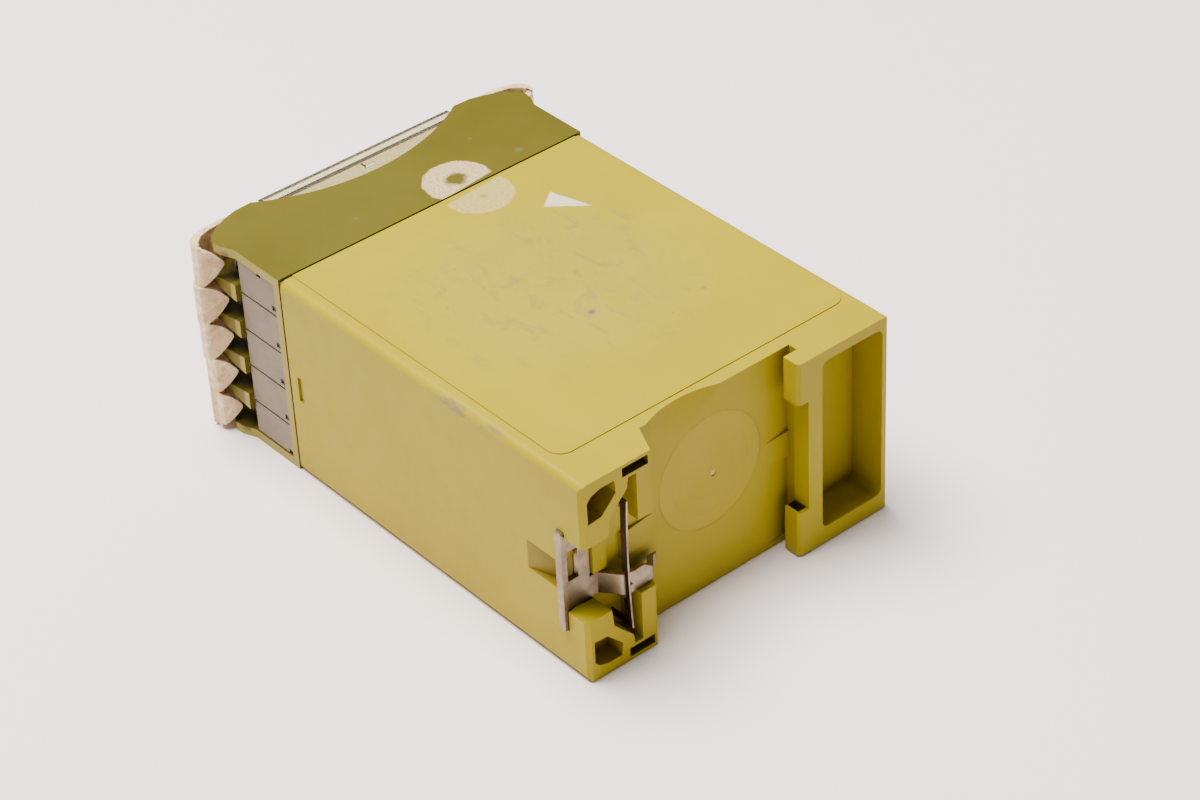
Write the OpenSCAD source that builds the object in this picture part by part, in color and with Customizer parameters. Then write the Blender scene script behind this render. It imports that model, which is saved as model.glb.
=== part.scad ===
// DIN rail timer: housing, front section, screw terminals, rail latch, dials and inner electronics.
// Frame: origin at the rail seat, +X to the latch end, +Y to the rail, +Z across the width. Millimetres.

/* [Housing] */
// height of the device across the rail
body_h = 75; // [60:0.5:110]
// width of the device along the rail
body_w = 45; // [40:0.5:90]
// distance from the rail seat to the seam between housing and front
seam_d = 81; // [60:0.5:100]
// how far the foot and the latch posts stand behind the rail seat
foot_d = 6; // [5:0.5:9]
// wall thickness of the housing shell
wall = 1.8; // [1.2:0.1:3]
// thickness of the rear wall under the rail seat
rear_wall = 4.5; // [3.5:0.1:6]
// radius of the long outer edges
edge_r = 1.6; // [0.5:0.1:2]

/* [Front section] */
// distance from the rail seat to the front edge of the cheeks
front_d = 107; // [95:0.5:125]
// half length of the clear cover
cover_half = 23.7; // [18:0.1:26]
// depth of the finger notch in each cheek, from the cover plate
notch_d = 6.55; // [3:0.05:9]
// half width of the finger notch
notch_half = 23.6; // [15:0.1:24]
// cheek thickness
cheek_t = 2; // [1.2:0.1:3]

/* [Terminals] */
// terminals at each end
terminals = 5; // [5:1:5]
// distance between neighbouring terminals
pitch = 8.6; // [8:0.1:9]
// screw shank radius
screw_r = 1.5; // [1.2:0.05:1.6]
// running clearance round the screws and the dial shafts
run_gap = 0.05; // [0.02:0.01:0.1]
// wire gap between clamp plate and contact
wire_gap = 4.7; // [4.2:0.1:5]
// radius of the screwdriver holes in the terminal guards
driver_r = 3; // [2.5:0.1:3.2]

/* [Rail] */
// width of the top hat rail
rail_w = 35; // [35:1:35]
// height of the undercut that takes the rail flange
undercut = 2.1; // [1.5:0.1:2.5]

/* [Dials] */
// radius of the time dial
time_r = 9.5; // [6:0.5:11]
// radius of the range dial
range_r = 5.5; // [4:0.5:6.5]

/* [Hidden] */
$fn = 48;
e = 0.01;
hx = body_h / 2;
hz = body_w / 2;
panel_t = 0.2;
sz = hz - panel_t;
seam_y = -seam_d;
front_y = -front_d;
in_x = hx - wall;
in_z = sz - wall;
in_y = -rear_wall;
cheek_in = hz - cheek_t;
post_x = 21.2;
lip_x = -14.3;
catch_x = -rail_w / 2 - 0.1;
screw_x = 31.5;
contact_y = -95.2;
washer_y = contact_y - wire_gap;
plate_y = -99.2;
guard_out = front_y - 0.2;
cover_in = front_y + 1;
notch_y = cover_in + 0.15;
notch_r = (notch_half * notch_half + notch_d * notch_d) / (2 * notch_d);
board_z = 16.5;
time_x = -5;
range_x = 14.5;
range_z = -10;
yellow = [0.72, 0.65, 0.22];
olive = [0.42, 0.42, 0.14];
cream = [0.82, 0.72, 0.58];
grey = [0.52, 0.47, 0.46];
steel = [0.6, 0.56, 0.54];
dark = [0.12, 0.1, 0.09];
brass = [0.78, 0.62, 0.34];
green = [0.1, 0.32, 0.16];
copper = [0.72, 0.4, 0.2];

// ---------- helpers ----------

module box(x0, x1, y0, y1, z0, z1)
    translate([x0, y0, z0])
        cube([x1 - x0, y1 - y0, z1 - z0]);

// a sketch in X and Z carried from y0 to y1
module yprism(y0, y1)
    translate([0, y1, 0])
        rotate([90, 0, 0])
            linear_extrude(y1 - y0)
                children();

// a sketch in X and Y carried from z0 to z1
module zprism(z0, z1)
    translate([0, 0, z0])
        linear_extrude(z1 - z0)
            children();

// a sketch in Y and Z carried from x0 to x1
module xprism(x0, x1)
    translate([x0, 0, 0])
        rotate([90, 0, 90])
            linear_extrude(x1 - x0)
                children();

module rrect(x0, x1, y0, y1, r) {
    translate([x0 + r, y0])
        square([x1 - x0 - 2 * r, y1 - y0]);
    translate([x0, y0 + r])
        square([x1 - x0, y1 - y0 - 2 * r]);
    for (x = [x0 + r, x1 - r], y = [y0 + r, y1 - r])
        translate([x, y])
            circle(r);
}

// a round bar along Y
module ycyl(x, z, y0, y1, r)
    translate([x, y1, z])
        rotate([90, 0, 0])
            cylinder(r = r, h = y1 - y0);

// both sides of the width
module both_sides() {
    children();
    mirror([0, 0, 1])
        children();
}

// lower end for side 1, upper end for side -1
module at_end(side)
    mirror([side > 0 ? 0 : 1, 0, 0])
        children();

function term_z(k) = (k - (terminals - 1) / 2) * -pitch;
function wall_z(k) = term_z(k) - pitch / 2;

// ---------- housing ----------

// side outline of the housing with the rail channel, foot and posts
module housing_outline()
    polygon([[hx, seam_y], [hx, foot_d - 0.8], [hx - 0.8, foot_d], [post_x, foot_d], [18.5, 0],
        [catch_x, 0], [catch_x, undercut], [lip_x, undercut], [lip_x, foot_d - 0.6],
        [lip_x - 0.6, foot_d], [0.8 - hx, foot_d], [-hx, foot_d - 0.8], [-hx, seam_y]]);

module side_panel()
    zprism(sz - 0.5, hz)
        intersection() {
            rrect(-35.5, 34.5, seam_y - 10, -3, 3.2);
            translate([-36, seam_y])
                square([71, seam_d]);
        }

// wall block of one post, seen from the rail side
module post_wall()
    polygon([[hx + 1, 8.4], [31.6, 8.4], [31.2, 12.2], [28.6, 15], [26.8, 16.8], [26.5, 19],
        [18, 19], [18, 23], [hx + 1, 23]]);

module post_pocket()
    polygon([[36, 13.4], [36, 18.3], [35, 19.3], [32.9, 20], [29.6, 20], [29.4, 17.2], [32.9, 13.7]]);

// room in the post region: everything that is not post
module post_room() {
    difference() {
        box(15, hx + 2, e, foot_d + 2, -8.4, sz + 1);
        yprism(0, foot_d + 3)
            post_wall();
        box(18, 24.6, -1, foot_d + 3, 8.4, 20);
    }
    yprism(1.6, foot_d + 3)
        post_pocket();
    box(21.8, 27.8, 2.2, foot_d + 3, 19.6, 21.6);
}

// recess and slots that the latch plate slides in
module latch_room() {
    box(31.6, hx + 2, -0.8, 0.75, -12.95, 9.65);
    box(36.6, hx + 2, -1.1, 0.95, -12.95, 9.65);
    box(28.4, 34, -0.8, 1, -8.6, -3.4);
}

// tapered screwdriver recess in the end face, below the latch
module driver_recess()
    zprism(-4.5, 2)
        polygon([[hx + e, -10.1], [hx + e, -0.7], [hx - 2.9, -0.7], [hx - 2.7, -1.4]]);

module foot_relief() {
    // the lip is cut back between its two claws and at its far corner
    box(-16.8, lip_x + 1, undercut - 1.2, foot_d + 1, -12, 13);
    box(-16.8, lip_x + 1, 0.4, foot_d + 1, -23, -22);
    yprism(-2, foot_d + 1)
        rrect(-35.6, -20.3, -18.5, 20, 1.5);
    box(-17, -14.9, 2.2, 5.1, -14.5, e - 12);
}

// shallow scallop where one side wall meets the seat
module scallop()
    intersection() {
        translate([8.2, 22.3, sz])
            rotate([16.7, 0, 0])
                cylinder(r = 23.1, h = 30, center = true, $fn = 96);
        box(-5, 18.3, -5, e, 14, hz + 1);
    }

// the seat falls away before the undercut, except at one rib
module seat_ramp()
    for (z = [[-21.2, -3], [2.7, 21.2]])
        zprism(z[0], z[1])
            polygon([[-11.5, e], [catch_x + e, -0.7], [catch_x + e, e]]);

module seat_marks() {
    ycyl(1.4, 3, -0.25, 1, 0.7);
    seat_ramp();
}

module board_guides()
    for (x = [-1, 1], z = [-board_z, board_z], s = [-1, 1])
        translate([x * (in_x - 0.7), -42, z + s * 1.55])
            cube([1.8, 66, 1.2], center = true);

module main_housing()
    color(yellow)
        union() {
            housing_shell();
            box(28.2, 31.3, -1, 0.9, -3.2, 3.4);
            zprism(-3.6, 2)
                polygon([[16, -1], [16, 0], [17, 0.1], [23.8, 0.9], [24.4, 0.9], [24.4, -1]]);
        }

module housing_shell()
        difference() {
            union() {
                difference() {
                    union() {
                        intersection() {
                            zprism(-sz, sz)
                                housing_outline();
                            yprism(seam_y - 1, foot_d + 1)
                                rrect(-hx, hx, -sz, sz, edge_r);
                        }
                        both_sides()
                            side_panel();
                    }
                    difference() {
                        box(-in_x, in_x, seam_y - 1, in_y, -in_z, in_z);
                        box(33, 40, -12, 0, -6.5, 4);
                    }
                }
                board_guides();
            }
            both_sides()
                post_room();
            latch_room();
            driver_recess();
            foot_relief();
            scallop();
            seat_marks();
            for (s = [-1, 1])
                box(s * hx - 3, s * hx + 3, -78.7, -77.2, -4.3, 1.5);
        }

// ---------- latch ----------

module latch_tongue()
    intersection() {
        zprism(-8.3, -3.6)
            polygon([[33, -0.7], [29.6, -0.7], [27, 3.1], [26.4, 3.6], [25, 3.9], [21.8, 3.8],
                [20.9, 3.5], [20.2, 2.9], [19, 1.15], [16.9, 1.15], [16.9, 1.45], [17.3, 1.7],
                [18.1, 1.9], [19.6, 3.7], [20.4, 4.4], [21.6, 4.75], [25, 4.85], [27, 4.5],
                [27.6, 4], [30.2, 0.6], [33, 0.6]]);
        yprism(-2, 6)
            polygon([[16, -8.3], [34, -8.3], [34, -3.6], [22.6, -3.6], [19.9, -5.75], [16, -5.75]]);
    }

module rail_latch()
    color(steel)
        difference() {
            union() {
                box(31.9, 38, -0.7, 0.6, -12.8, 9.5);
                box(37, 38.3, -0.95, 0.8, -12.8, 9.5);
                latch_tongue();
                box(26, 26.6, 4.3, 5.6, -7.4, -5.6);
            }
            box(34.4, 36.8, -2, 2, -2, 4.6);
        }

// flat spring between the posts, standing on a foot at each end and notched over the tongue
module latch_spring()
    color(dark)
        intersection() {
            translate([27.45 - 260, 0, 1.5])
                rotate([-90, 0, 0])
                    difference() {
                        cylinder(r = 260, h = 8, $fn = 96);
                        translate([0, 0, -1])
                            cylinder(r = 259.6, h = 10, $fn = 96);
                    }
            union() {
                box(26, 29, 4.9, 5.9, -9.2, -2.8);
                box(26, 29, 4.2, 5.9, -15.5, -9.2);
                box(26, 29, 4.2, 5.9, -2.8, 13.9);
                box(26, 29, e, 5, 12.3, 13.9);
                box(26, 29, e, 5, -15.5, -13.9);
            }
        }

// ---------- front section ----------

module cheek_outline()
    difference() {
        polygon([[hx, seam_y - 0.6], [hx, -95.8], [38.7, -98.6], [38.9, -100.6], [38.1, -102.4],
            [35.6, -104.4], [32.6, -105.8], [29.4, front_y + 0.2], [25.2, front_y],
            [24, front_y], [24, notch_y], [-24, notch_y], [-24, front_y],
            [-25.2, front_y], [-29.4, front_y + 0.2], [-32.6, -105.8], [-35.6, -104.4],
            [-38.1, -102.4], [-38.9, -100.6], [-38.7, -98.6], [-hx, -95.8], [-hx, seam_y - 0.6]]);
        translate([0, notch_y + notch_d - notch_r])
            circle(notch_r, $fn = 96);
    }

// wall between two terminals, thickened to a wedge at the end face
module terminal_wall(z)
    intersection() {
        union() {
            box(25.2, 37.4, -106.2, seam_y - 2, z - 0.45, z + 0.45);
            xprism(35, 38.4)
                polygon([[-106.2, z - 0.45], [-96, z - 1.9], [-95.4, z - 1.9], [-95.4, z + 1.9],
                    [-96, z + 1.9], [-106.2, z + 0.45]]);
        }
        zprism(z - 3, z + 3)
            polygon([[25, -80], [25, -105.8], [34.6, -105.8], [38, -105.1], [38.4, -104.8], [38.4, -80]]);
    }

module front_tray()
    difference() {
        union() {
            box(-hx, hx, seam_y - 2.4, seam_y - 0.5, -hz, hz);
            box(0.4 - hx, hx - 0.4, seam_y - 0.6, seam_y, 0.4 - sz, sz - 0.4);
            box(-35.4, 35.4, seam_y - 0.6, seam_y + 5, -20.2, 20.2);
            for (s = [-1, 1])
                box(s * 36 - 1, s * 36 + 1, -78.6, -77.3, -4.1, 1.3);
        }
        box(-34, 34, seam_y - 1, seam_y + 6, -18.9, 18.9);
        box(-23, 23, seam_y - 3, seam_y + 6, -18.9, 18.9);
        for (s = [-1, 1], k = [0:terminals - 1]) {
            box(s * 27.5 - 0.7, s * 27.5 + 0.7, seam_y - 3, seam_y + 1, term_z(k) - 1.6, term_z(k) + 1.6);
        }
    }

module front_frame()
    color(olive)
        difference() {
            union() {
                both_sides()
                    zprism(cheek_in, hz)
                        cheek_outline();
                front_tray();
                for (s = [-1, 1])
                    box(s * 25.2 - 1, s * 25.2 + 1, notch_y, seam_y - 1, -cheek_in - e, cheek_in + e);
                for (s = [-1, 1], k = [0:terminals - 2])
                    at_end(s)
                        terminal_wall(wall_z(k));
                both_sides()
                    for (x = [-12, 12])
                        box(x - 3, x + 3, -97.7, seam_y - 2, 19.4, cheek_in + e);
            }
            for (s = [-1, 1])
                at_end(s)
                    block_room();
        }

// pocket that the terminal block drops into
module block_room()
    box(25.5, hx + 3, -95.3, -83.35, -20.35, 20.35);

module front_plate()
    color([0.3, 0.31, 0.16])
        difference() {
            box(-23.9, 23.9, plate_y, plate_y + 1.4, -20.3, 20.3);
            ycyl(time_x, 0, plate_y - 1, plate_y + 3, 3 + 0.2);
            ycyl(range_x, range_z, plate_y - 1, plate_y + 3, 2 + 0.2);
            for (z = [4, 12])
                ycyl(range_x, z, plate_y - 1, plate_y + 3, 1.6);
            difference() {
                ycyl(time_x, 0, plate_y - 1, plate_y + 0.3, time_r + 3.4);
                ycyl(time_x, 0, plate_y - 2, plate_y + 1, time_r + 3);
            }
        }

// lens-shaped grip that fills the finger notch
module cover_grip()
    intersection() {
        translate([0, notch_y + notch_d - notch_r])
            circle(notch_r - 0.3, $fn = 96);
        translate([-cover_half, cover_in - 0.1])
            square([2 * cover_half, 9]);
    }

module front_cover()
    color([0.85, 0.86, 0.84, 0.4]) {
        difference() {
            union() {
                box(-cover_half, cover_half, front_y, cover_in, 0.2 - hz, hz - 0.2);
                box(-23.4, 23.4, cover_in - e, plate_y - 0.2, -20.2, 20.2);
            }
            box(-22.5, 22.5, cover_in, plate_y + 1, -19.2, 19.2);
        }
        both_sides() {
            zprism(20.1, 21.2)
                cover_grip();
            box(-1.7, 0.4, -104.4, -102.6, 21.1, 21.7);
        }
    }

// ---------- terminals ----------

module block_shape()
    difference() {
        box(25.6, 37.3, contact_y, -83.5, -20.25, 20.25);
        for (k = [0:terminals - 1]) {
            ycyl(screw_x, term_z(k), -97, -82, 1.9);
            box(26.7, 28.3, -97, -82, term_z(k) - 1.5, term_z(k) + 1.5);
            box(25, 36.2, contact_y - 1, contact_y + 1.05, term_z(k) - 2.7, term_z(k) + 2.7);
            box(36.9, 38, -84.9, -83, term_z(k) - 3.4, term_z(k) - 2.2);
        }
        for (k = [0:terminals - 2])
            box(36.9, 38, -97, -83, wall_z(k) - 0.2, wall_z(k) + 0.2);
        box(36.5, 38, -89.2, -87.8, 19.7, 21);
    }

module terminal_block_lower()
    color(grey)
        at_end(1)
            block_shape();

module terminal_block_upper()
    color(grey)
        at_end(-1)
            block_shape();

// reach of each lobe of the finger guard past the end face
lobe_x = [42.2, 42.8, 42.6, 41.4, 40.9];

module guard_profile(xe)
    polygon([[26.4, guard_out], [34.6, guard_out], [36.6, guard_out + 0.2], [39.5, guard_out + 0.9],
        [41.2, guard_out + 2], [xe - 0.3, guard_out + 3.1], [xe, guard_out + 4], [xe - 0.2, guard_out + 5.4],
        [xe - 0.8, guard_out + 5.8], [37.2, guard_out + 7], [37.3, guard_out + 5.8], [xe - 1.6, guard_out + 4.4],
        [xe - 1.6, guard_out + 3.8], [38.6, guard_out + 2.1], [35.6, guard_out + 1.3], [26.4, guard_out + 1.1]]);

// notch between two teeth, closed at the outer wall
module tooth_gap(z)
    yprism(guard_out + 4.4, guard_out + 9)
        translate([0, z])
            polygon([[41.6, -0.15], [40.8, -0.5], [39.8, -1.1], [38.8, -2], [37.9, -3], [37.2, -3.9],
                [36.6, -4.3], [36.6, 4.3], [37.2, 3.9], [37.9, 3], [38.8, 2], [39.8, 1.1],
                [40.8, 0.5], [41.6, 0.15]]);

module guard_shape()
    difference() {
        union() {
            for (k = [0:terminals - 1])
                zprism(term_z(k) - pitch / 2 - (k == terminals - 1 ? 0.3 : e), term_z(k) + pitch / 2 + (k == 0 ? 0.35 : e))
                    guard_profile(lobe_x[k]);
            both_sides()
                box(27, 33.5, guard_out + 1, -104.6, 19.3, cheek_in - 0.1);
        }
        for (k = [-1:terminals - 1])
            tooth_gap(wall_z(k));
        for (k = [0:terminals - 1])
            ycyl(screw_x, term_z(k), -109, -104, driver_r);
        both_sides()
            zprism(cheek_in - 0.05, hz + 1)
                cheek_outline();
    }

module terminal_cover_lower()
    color(cream)
        at_end(1)
            guard_shape();

module terminal_cover_upper()
    color(cream)
        at_end(-1)
            guard_shape();

module contact_set()
    for (k = [0:terminals - 1])
        difference() {
            union() {
                box(26.9, 36.1, contact_y, contact_y + 1, term_z(k) - 2.6, term_z(k) + 2.6);
                box(27, 27.9, contact_y, -77.2, term_z(k) - 1.3, term_z(k) + 1.3);
            }
            ycyl(screw_x, term_z(k), -97, -82, screw_r + run_gap);
        }

module contacts_lower()
    color(brass)
        at_end(1)
            contact_set();

module contacts_upper()
    color(brass)
        at_end(-1)
            contact_set();

module terminal_screw(side, k)
    color(steel)
        at_end(side)
            difference() {
                union() {
                    ycyl(screw_x, term_z(k), washer_y - 3.1, washer_y - 1.05, 2.15);
                    ycyl(screw_x, term_z(k), washer_y - 2, -88.8, screw_r);
                    ycyl(screw_x, term_z(k), -88.9, -88, screw_r - 0.4);
                }
                box(screw_x - 3, screw_x + 3, washer_y - 4, washer_y - 2.1, term_z(k) - 0.35, term_z(k) + 0.35);
            }

module clamp_plate(side, k)
    color([0.66, 0.62, 0.56])
        at_end(side)
            difference() {
                union() {
                    box(28.2, 34.8, washer_y - 1, washer_y, term_z(k) - 2.5, term_z(k) + 2.5);
                    for (x = [28.7, 29.5, 33.5, 34.3])
                        box(x - 0.2, x + 0.2, washer_y - e, washer_y + 0.3, term_z(k) - 2.3, term_z(k) + 2.3);
                }
                ycyl(screw_x, term_z(k), washer_y - 2, washer_y + 1, screw_r + run_gap);
            }

// ---------- boards ----------

module side_board(z)
    difference() {
        union() {
            box(-34, 34, -74, -12, z - 0.8, z + 0.8);
            box(-22, 22, -87.6, -73, z - 0.8, z + 0.8);
        }
        for (x = [-30, 30])
            translate([x, -16, z - 2])
                cylinder(r = 1.6, h = 4);
    }

module main_board()
    color(green)
        difference() {
            side_board(-board_z);
            relay_pins(0.05);
        }

module relay_board()
    color(green)
        side_board(board_z);

module front_board()
    color(green)
        difference() {
            box(-22.6, 22.6, -89.4, -87.8, -18.2, 18.2);
            for (s = [-1, 1])
                ycyl(s * 20.5, 0, -91, -86, 1.2);
            header_pins(0.05);
        }

module end_board()
    difference() {
        box(24.5, 33.4, -79.6, -78, -18.6, 18.6);
        for (k = [0:terminals - 1])
            box(26.9, 28, -80, -77, term_z(k) - 1.4, term_z(k) + 1.4);
    }

module terminal_board_lower()
    color(green)
        at_end(1)
            end_board();

module terminal_board_upper()
    color(green)
        at_end(-1)
            end_board();

// pins of the two headers, grown by gap for their holes
module header_pins(gap)
    for (i = [-6:6], z = [-1, 1])
        translate([i * 2.54, -86.75 - 10 * gap, z * (board_z - 2.1)])
            cube([0.6 + 2 * gap, 5.5 + 20 * gap, 0.6 + 2 * gap], center = true);

module link_pins()
    color(brass) {
        header_pins(0);
        for (z = [-1, 1])
            box(-16.8, 16.8, -87.7, -85.2, z * (board_z - 2.1) - 1.25, z * (board_z - 2.1) + 1.25);
        for (s = [-1, 1], i = [0:3], z = [-1, 1])
            box(s * (25.5 + i * 2) - 0.3, s * (25.5 + i * 2) + 0.3, -77.9, -72,
                z * (board_z - 1.2) - 0.3, z * (board_z - 1.2) + 0.3);
    }

// ---------- transformer ----------

core_c = [17, -34, -3];

module transformer_core()
    color([0.3, 0.29, 0.28])
        translate(core_c)
            difference() {
                cube([30, 36, 14], center = true);
                for (s = [-1, 1])
                    translate([s * 7.5, 0, 0])
                        cube([5, 24, 16], center = true);
            }

module coil_former(w, l, h)
    translate(core_c)
        difference() {
            cube([w, l, h], center = true);
            cube([10.1, l + 1, 14.1], center = true);
        }

module transformer_bobbin()
    color([0.15, 0.14, 0.13]) {
        coil_former(11, 23.8, 15);
        for (s = [-1, 1])
            translate([0, s * 11.4, 0])
                coil_former(19.6, 1, 23);
        translate(core_c)
            for (s = [-1, 1], i = [-2:2])
                translate([i * 3.5, s * 11.4, -11.9])
                    cube([0.8, 0.8, 1.5], center = true);
    }

module transformer_winding()
    color(copper)
        translate(core_c)
            difference() {
                cube([19, 21.7, 22], center = true);
                cube([11.1, 30, 15.1], center = true);
            }

// ---------- relay ----------

relay_c = [-18, -38, -15.7];

// pins under the relay, grown by gap for their holes
module relay_pins(gap)
    translate(relay_c)
        for (x = [-11, -4, 4, 11], y = [-8, 8])
            translate([x, y, -0.6])
                cube([0.8 + 2 * gap, 0.4 + 2 * gap, 3.4], center = true);

module relay_base()
    color([0.2, 0.2, 0.22]) {
        relay_pins(0);
        translate(relay_c)
            translate([0, 0, 1.2])
                cube([29, 24, 2.4], center = true);
    }

module relay_coil()
    color(copper)
        translate(relay_c)
            translate([-5, 0, 9.5])
                rotate([0, 90, 0])
                    difference() {
                        cylinder(r = 5.2, h = 13, center = true);
                        cylinder(r = 2, h = 14, center = true);
                    }

// coil core and the bent plate that carries the armature
module relay_yoke()
    color([0.55, 0.53, 0.5])
        translate(relay_c) {
            translate([-5, 0, 9.5])
                rotate([0, 90, 0])
                    cylinder(r = 2, h = 16, center = true);
            translate([-12.5, 0, 9.2])
                cube([1.2, 11, 13.4], center = true);
            translate([-4.9, 0, 15.4])
                cube([16, 11, 1.2], center = true);
        }

// hinged plate in front of the coil core
module relay_armature()
    color(steel)
        translate(relay_c) {
            translate([4.1, 0, 9.5])
                cube([1, 10.4, 11], center = true);
            translate([4.1, 0, 15.1])
                rotate([90, 0, 0])
                    cylinder(r = 0.5, h = 10.4, center = true);
            translate([5.4, 0, 5])
                cube([1.8, 4, 1.6], center = true);
        }

module relay_contacts()
    color(brass)
        translate(relay_c)
            for (x = [8.4, 10.4, 12.4], y = [-5.5, 5.5]) {
                translate([x, y, 9])
                    cube([0.3, 3.6, 13.2], center = true);
                translate([x + 0.4, y, 14])
                    rotate([0, 90, 0])
                        cylinder(r = 1.1, h = 0.7, center = true);
            }

module relay_cover()
    color([0.75, 0.78, 0.8, 0.5])
        translate(relay_c)
            difference() {
                translate([0, 0, 11.5])
                    cube([30.4, 25.4, 18], center = true);
                translate([0, 0, 10.4])
                    cube([29.2, 24.2, 18], center = true);
            }

// ---------- small components ----------

module can(x, y, z, r, h)
    translate([x, y, z])
        cylinder(r = r, h = h);

module capacitors()
    color([0.16, 0.2, 0.36]) {
        can(-8, -62, 0.8 - board_z, 6.2, 24);
        can(6, -62, 0.8 - board_z, 5, 16);
        can(18, -62, 0.8 - board_z, 4, 12);
        for (x = [-29, -20])
            box(x - 4, x + 4, -66, -62, 0.8 - board_z, 10 - board_z);
    }

module chips()
    color([0.07, 0.07, 0.08])
        for (p = [[-24, -28, 19], [-24, -50, 10], [2, -50, 19]]) {
            box(p[0] - p[2] / 2, p[0] + p[2] / 2, p[1] - 3.2, p[1] + 3.2, board_z - 4.4, board_z - 1.3);
            for (i = [0:floor(p[2] / 2.54) - 1], s = [-1, 1])
                translate([p[0] - p[2] / 2 + 1.4 + i * 2.54, p[1] + s * 3.5, board_z - 2.2])
                    cube([0.6, 0.7, 2.6], center = true);
        }

module resistors()
    color([0.7, 0.58, 0.42])
        for (i = [0:6]) {
            translate([-12 + i * 4, -68.5, board_z - 2.3])
                rotate([90, 0, 0])
                    cylinder(r = 1.15, h = 6.2, center = true);
            translate([-12 + i * 4, -68.5, board_z - 2.3])
                rotate([90, 0, 0])
                    cylinder(r = 0.3, h = 9.6, center = true);
        }

module diodes()
    color([0.1, 0.1, 0.1])
        for (i = [0:3]) {
            translate([26, -50 + i * 6, board_z - 2.6])
                rotate([0, 90, 0])
                    cylinder(r = 1.35, h = 5, center = true);
            translate([26, -50 + i * 6, board_z - 2.6])
                rotate([0, 90, 0])
                    cylinder(r = 0.4, h = 9, center = true);
        }

// ---------- dials ----------

module time_pot()
    color([0.32, 0.4, 0.5])
        difference() {
            union() {
                ycyl(time_x, 0, -95.4, -89.5, 8.2);
                ycyl(time_x, 0, -97.7, -95.3, 4.4);
            }
            ycyl(time_x, 0, -99, -91, 3 + run_gap);
        }

module time_shaft()
    color([0.6, 0.6, 0.62])
        ycyl(time_x, 0, -104.2, -91.2, 3);

// ribbed dial body round a bore that grips the shaft
module dial(x, z, r, bore_r, y0, ribs)
    difference() {
        union() {
            ycyl(x, z, y0 + 0.6, plate_y - 0.5, r);
            ycyl(x, z, y0, y0 + 0.7, r - 0.6);
        }
        ycyl(x, z, y0 + 1.2, plate_y + 1, bore_r);
        for (i = [0:ribs - 1])
            translate([x, 0, z])
                rotate([0, i * 360 / ribs, 0])
                    translate([r + 0.15, (y0 + plate_y) / 2, 0])
                        rotate([0, 45, 0])
                            cube([0.75, 12, 0.75], center = true);
        translate([x, y0, z + r * 0.55])
            cube([0.7, 0.6, r * 0.8], center = true);
    }

module time_knob()
    color(dark)
        dial(time_x, 0, time_r, 3, -105.5, 30);

module range_switch()
    color([0.25, 0.27, 0.3])
        difference() {
            union() {
                box(range_x - 5, range_x + 5, -95, -89.5, range_z - 5, range_z + 5);
                ycyl(range_x, range_z, -97.7, -94.9, 3.4);
            }
            ycyl(range_x, range_z, -99, -91, 2 + run_gap);
        }

module range_shaft()
    color([0.8, 0.8, 0.76])
        ycyl(range_x, range_z, -103.4, -91.2, 2);

module range_knob()
    color(dark)
        dial(range_x, range_z, range_r, 2, -104.7, 18);

module indicator_lamps()
    color([0.7, 0.2, 0.1])
        for (z = [4, 12]) {
            ycyl(range_x, z, -98.4, -89.5, 1.5);
            translate([range_x, -98.4, z])
                sphere(1.5);
            ycyl(range_x, z, -97.5, -96.9, 1.9);
        }

// ---------- nodes ----------

main_housing();
front_frame();
front_plate();
front_cover();
terminal_block_lower();
terminal_block_upper();
terminal_cover_lower();
terminal_cover_upper();
contacts_lower();
contacts_upper();
terminal_screw(1, 0);  // screw_lower_1
terminal_screw(1, 1);  // screw_lower_2
terminal_screw(1, 2);  // screw_lower_3
terminal_screw(1, 3);  // screw_lower_4
terminal_screw(1, 4);  // screw_lower_5
terminal_screw(-1, 0);  // screw_upper_1
terminal_screw(-1, 1);  // screw_upper_2
terminal_screw(-1, 2);  // screw_upper_3
terminal_screw(-1, 3);  // screw_upper_4
terminal_screw(-1, 4);  // screw_upper_5
clamp_plate(1, 0);  // clamp_lower_1
clamp_plate(1, 1);  // clamp_lower_2
clamp_plate(1, 2);  // clamp_lower_3
clamp_plate(1, 3);  // clamp_lower_4
clamp_plate(1, 4);  // clamp_lower_5
clamp_plate(-1, 0);  // clamp_upper_1
clamp_plate(-1, 1);  // clamp_upper_2
clamp_plate(-1, 2);  // clamp_upper_3
clamp_plate(-1, 3);  // clamp_upper_4
clamp_plate(-1, 4);  // clamp_upper_5
rail_latch();
latch_spring();
main_board();
relay_board();
front_board();
terminal_board_lower();
terminal_board_upper();
transformer_core();
transformer_bobbin();
transformer_winding();
relay_base();
relay_coil();
relay_yoke();
relay_armature();
relay_contacts();
relay_cover();
capacitors();
chips();
resistors();
diodes();
time_pot();
time_shaft();
time_knob();
range_switch();
range_shaft();
range_knob();
indicator_lamps();
link_pins();
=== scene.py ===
"""Looks of the DIN rail timer: materials, small fittings, floor, light and camera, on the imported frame."""

import math
import random

import bmesh
import bpy
from mathutils import Matrix, Vector


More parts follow.
